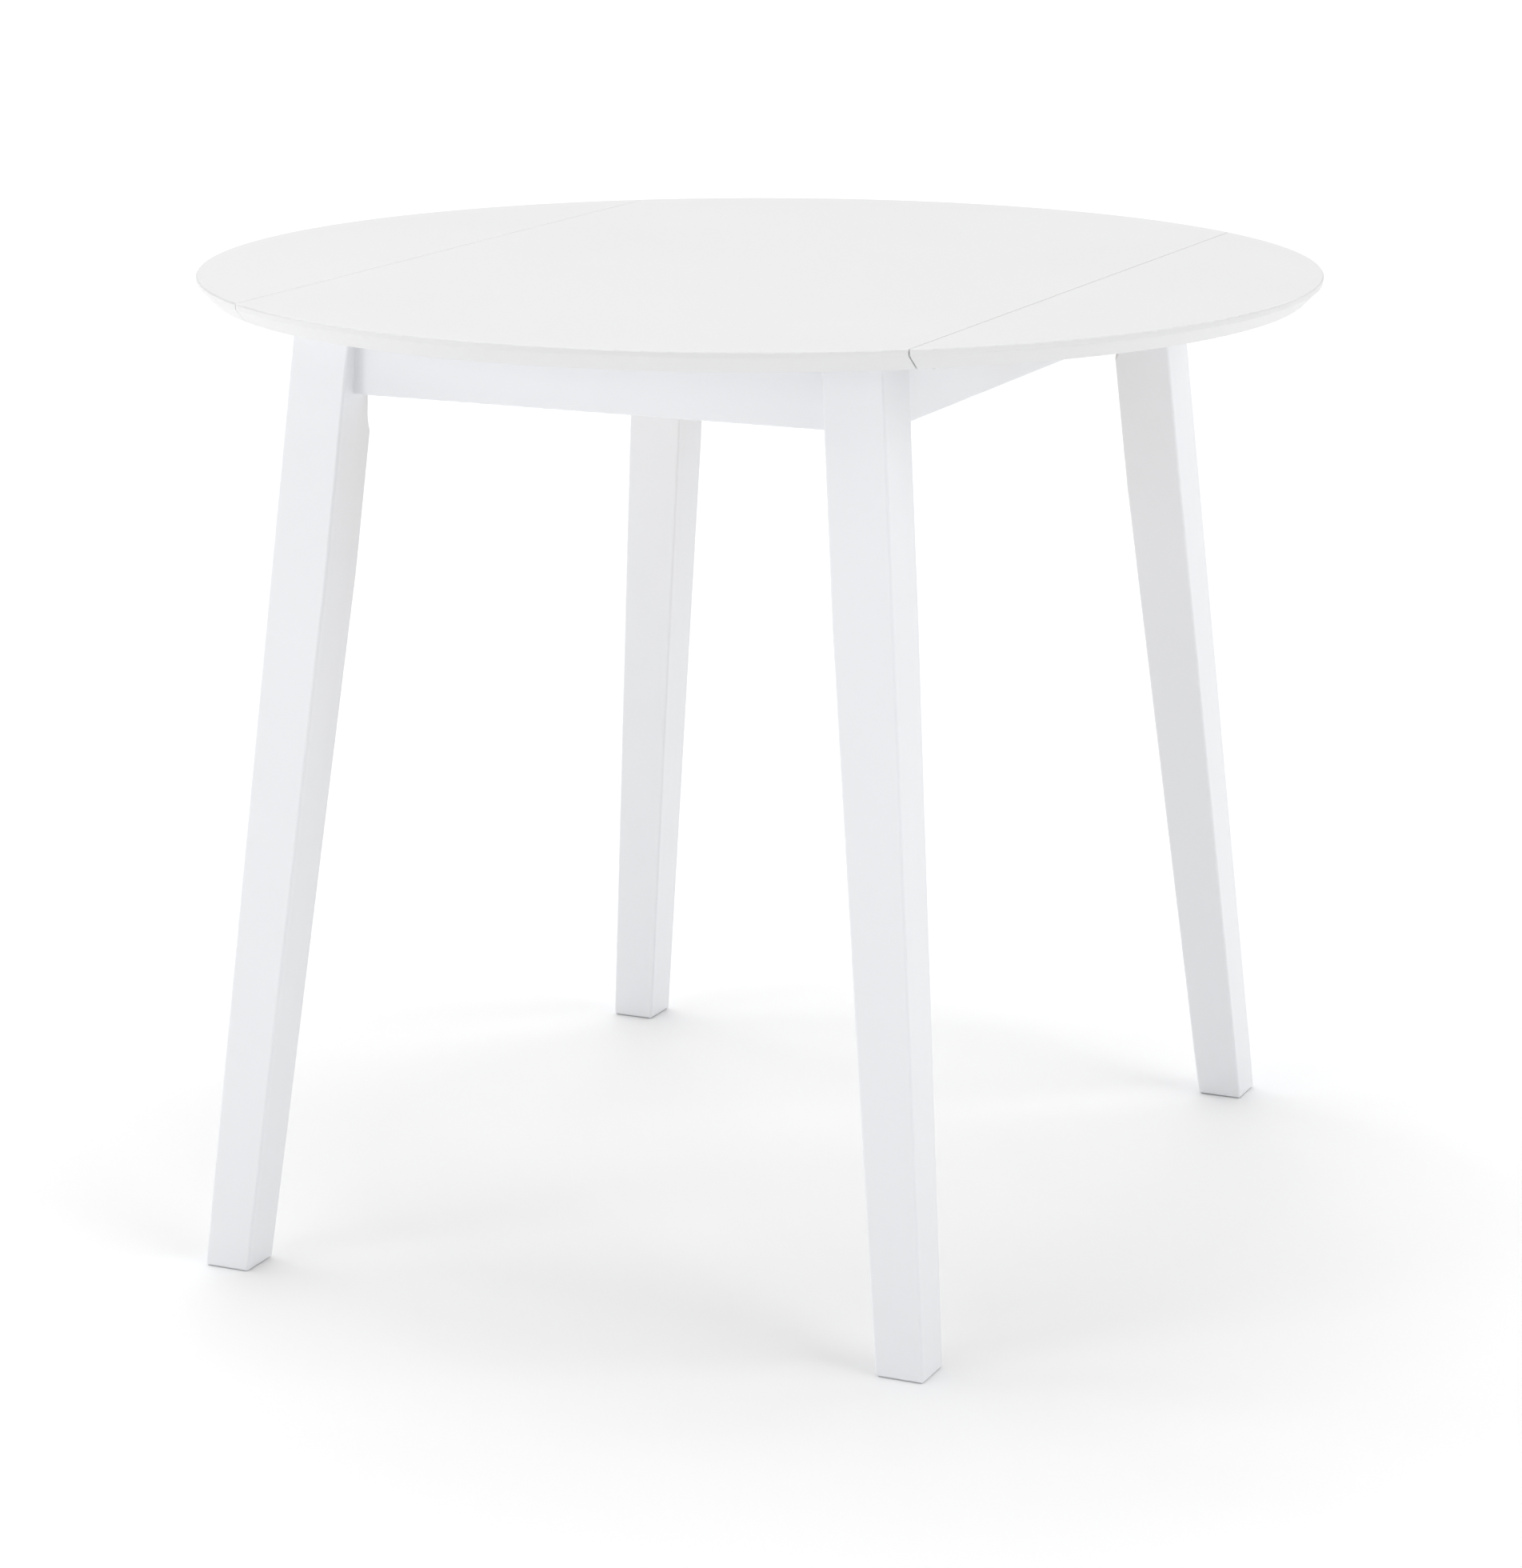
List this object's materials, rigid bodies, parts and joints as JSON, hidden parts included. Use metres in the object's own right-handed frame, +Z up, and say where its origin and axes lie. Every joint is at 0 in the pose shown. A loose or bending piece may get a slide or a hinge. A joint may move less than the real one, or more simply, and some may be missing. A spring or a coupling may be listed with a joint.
{
  "type": "round drop-leaf dining table",
  "caption": "Round white dining table on splayed tapered legs, with a hinged half-moon leaf at each side carried on pull-out wooden slides under the top.",
  "frame": {"origin": "on the floor under the middle of the top", "axes": "+Z up, Y along the two seams with the front at -Y, X across the seams with the right leaf at +X"},
  "size_m": [0.8798, 0.8798, 0.75],
  "materials": {
    "lacquered_top": "white satin lacquer on board",
    "lacquered_frame": "white satin lacquer on solid wood",
    "rail_wood": "planed, unfinished",
    "slide_wood": "planed beech, waxed",
    "dowel_wood": "turned beech",
    "hinge_steel": "zinc plated, satin",
    "plate_steel": "zinc plated, satin",
    "steel_fasteners": "zinc plated",
    "glide_plastic": "moulded, dark grey"
  },
  "bodies": {
    "frame": {"apron_back": "lacquered_frame", "apron_front": "lacquered_frame", "apron_left": "lacquered_frame", "apron_right": "lacquered_frame", "bolt_nuts": "steel_fasteners", "bolt_washers": "steel_fasteners", "centre_panel": "lacquered_top", "centre_rail": "rail_wood", "corner_plate_back_left": "plate_steel", "corner_plate_back_right": "plate_steel", "corner_plate_front_left": "plate_steel", "corner_plate_front_right": "plate_steel", "corner_plate_screws": "steel_fasteners", "glide_back_left": "glide_plastic", "glide_back_right": "glide_plastic", "glide_front_left": "glide_plastic", "glide_front_right": "glide_plastic", "glide_nails": "steel_fasteners", "guide_rail_left": "rail_wood", "guide_rail_right": "rail_wood", "hanger_bolts": "steel_fasteners", "hinge_panel_plate_left_back": "hinge_steel", "hinge_panel_plate_left_front": "hinge_steel", "hinge_panel_plate_left_middle": "hinge_steel", "hinge_panel_plate_right_back": "hinge_steel", "hinge_panel_plate_right_front": "hinge_steel", "hinge_panel_plate_right_middle": "hinge_steel", "hinge_pin_left_back": "hinge_steel", "hinge_pin_left_front": "hinge_steel", "hinge_pin_left_middle": "hinge_steel", "hinge_pin_right_back": "hinge_steel", "hinge_pin_right_front": "hinge_steel", "hinge_pin_right_middle": "hinge_steel", "leg_back_left": "lacquered_frame", "leg_back_right": "lacquered_frame", "leg_front_left": "lacquered_frame", "leg_front_right": "lacquered_frame", "panel_hinge_screws": "steel_fasteners", "rail_dowels": "dowel_wood", "top_screws": "steel_fasteners"},
    "leaf_left": {"leaf_left": "lacquered_top", "leaf_hinge_screws_left": "steel_fasteners", "hinge_leaf_plate_left_front": "hinge_steel", "hinge_leaf_plate_left_middle": "hinge_steel", "hinge_leaf_plate_left_back": "hinge_steel"},
    "leaf_right": {"leaf_right": "lacquered_top", "leaf_hinge_screws_right": "steel_fasteners", "hinge_leaf_plate_right_front": "hinge_steel", "hinge_leaf_plate_right_middle": "hinge_steel", "hinge_leaf_plate_right_back": "hinge_steel"},
    "slide_front_left": {"slide_front_left": "slide_wood", "stop_peg_front_left": "dowel_wood"},
    "slide_back_left": {"slide_back_left": "slide_wood", "stop_peg_back_left": "dowel_wood"},
    "slide_front_right": {"slide_front_right": "slide_wood", "stop_peg_front_right": "dowel_wood"},
    "slide_back_right": {"slide_back_right": "slide_wood", "stop_peg_back_right": "dowel_wood"}
  },
  "joints": [
    {"name": "leaf_right_hinge", "type": "hinge", "parent": "frame", "child": "leaf_right", "pos_m": [0.27, 0, 0.7316], "axis": [0, -1, 0], "range_deg": [-90, 0]},
    {"name": "leaf_left_hinge", "type": "hinge", "parent": "frame", "child": "leaf_left", "pos_m": [-0.27, 0, 0.7316], "axis": [0, 1, 0], "range_deg": [-90, 0]},
    {"name": "slide_front_right_pull", "type": "slide", "parent": "frame", "child": "slide_front_right", "axis": [1, 0, 0], "range_m": [0, 0.108]},
    {"name": "slide_back_right_pull", "type": "slide", "parent": "frame", "child": "slide_back_right", "axis": [1, 0, 0], "range_m": [0, 0.108]},
    {"name": "slide_front_left_pull", "type": "slide", "parent": "frame", "child": "slide_front_left", "axis": [-1, 0, 0], "range_m": [0, 0.108]},
    {"name": "slide_back_left_pull", "type": "slide", "parent": "frame", "child": "slide_back_left", "axis": [-1, 0, 0], "range_m": [0, 0.108]}
  ]
}
